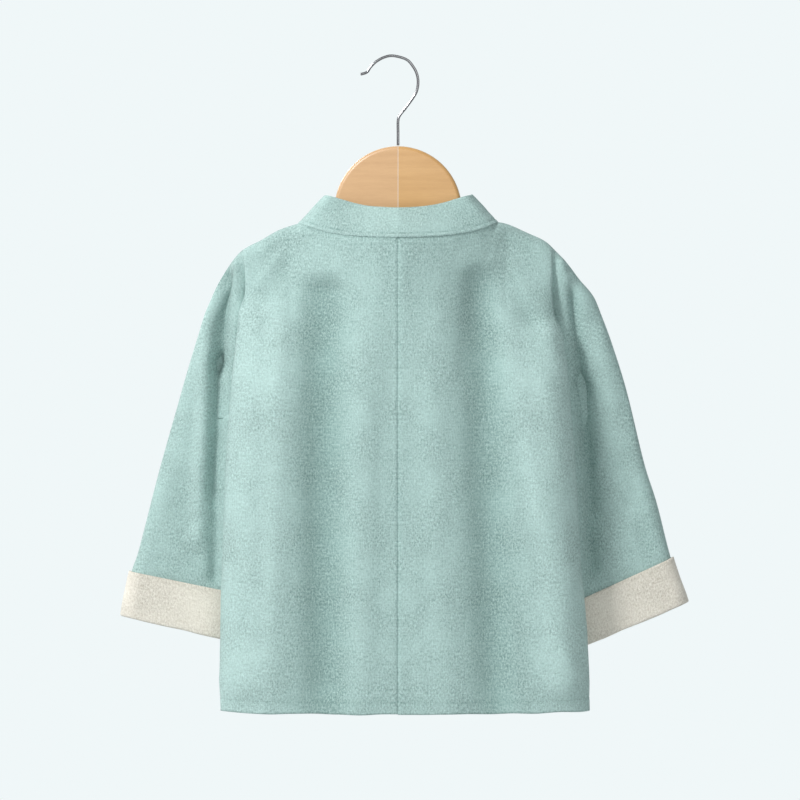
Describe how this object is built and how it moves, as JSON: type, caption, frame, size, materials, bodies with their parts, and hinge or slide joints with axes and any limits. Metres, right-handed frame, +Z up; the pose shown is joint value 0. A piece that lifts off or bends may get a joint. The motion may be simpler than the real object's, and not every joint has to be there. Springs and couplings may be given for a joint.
{
  "type": "hanfu jacket on wooden hanger",
  "caption": "Child's crossed-front hanfu jacket with a band collar and turned-back cuffs, hung open and hollow on a wooden hanger with a wire hook.",
  "frame": {"origin": "underside of the hook's crown, where a rail carries the hanger, on the axis of the hook's stem", "axes": "+Z up; the jacket's back faces -Y and its crossed front +Y; +X along the shoulders to the wearer's right"},
  "size_m": [0.5291, 0.0817, 0.6089],
  "materials": {
    "linen_cotton": "washed plain weave, matt",
    "facing_cotton": "undyed plain weave, matt",
    "wood": "clear satin varnish",
    "hook_steel": "bright plated wire",
    "stud_steel": "plain"
  },
  "bodies": {
    "root": {"back_left": "linen_cotton", "back_right": "linen_cotton", "front_left": "linen_cotton", "front_right": "linen_cotton", "collar": "linen_cotton", "cuff_left": "facing_cotton", "cuff_right": "facing_cotton", "hanger_left": "wood", "hanger_right": "wood", "hook": "hook_steel", "stud_cap": "stud_steel", "stud_socket": "stud_steel"}
  },
  "joints": []
}
